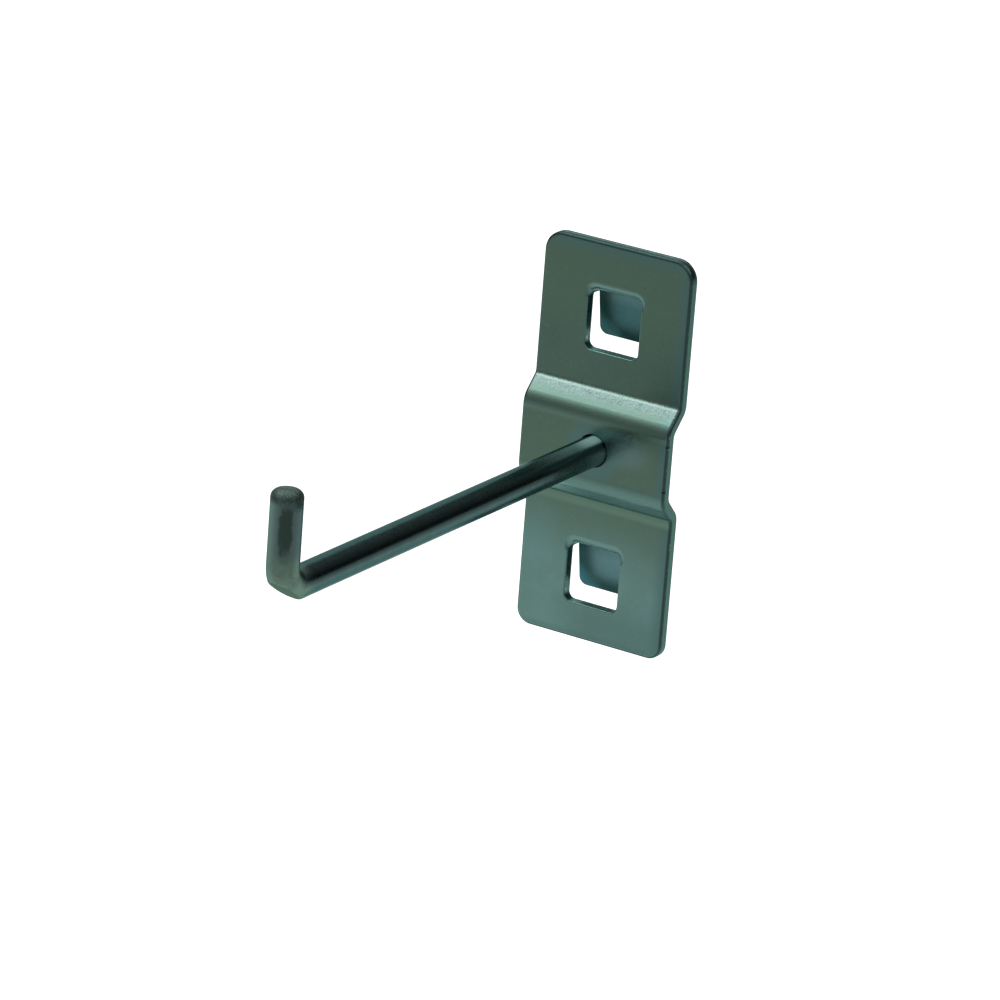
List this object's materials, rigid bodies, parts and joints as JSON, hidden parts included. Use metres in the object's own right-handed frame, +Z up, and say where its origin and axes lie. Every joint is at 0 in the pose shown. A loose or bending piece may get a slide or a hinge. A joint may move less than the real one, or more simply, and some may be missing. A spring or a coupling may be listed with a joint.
{
  "type": "tool hook",
  "caption": "Zinc-plated tool hook for a square-hole steel pegboard: a joggled back plate with bent tongues carries a round rod turned up at its end.",
  "frame": {"origin": "where the rod's axis crosses the plane of the panel's face, which the back faces of both wings lie on, midway between the two tongues", "axes": "+Z up, +Y from the plate into the panel, so the rod points along -Y; X along the plate's width"},
  "size_m": [0.0244, 0.0881, 0.0594],
  "materials": {
    "plated_sheet": "satin zinc plating, slightly mottled",
    "plated_wire": "bright zinc plating on drawn wire"
  },
  "bodies": {
    "root": {"back_plate": "plated_sheet", "hook_rod": "plated_wire"}
  },
  "joints": []
}
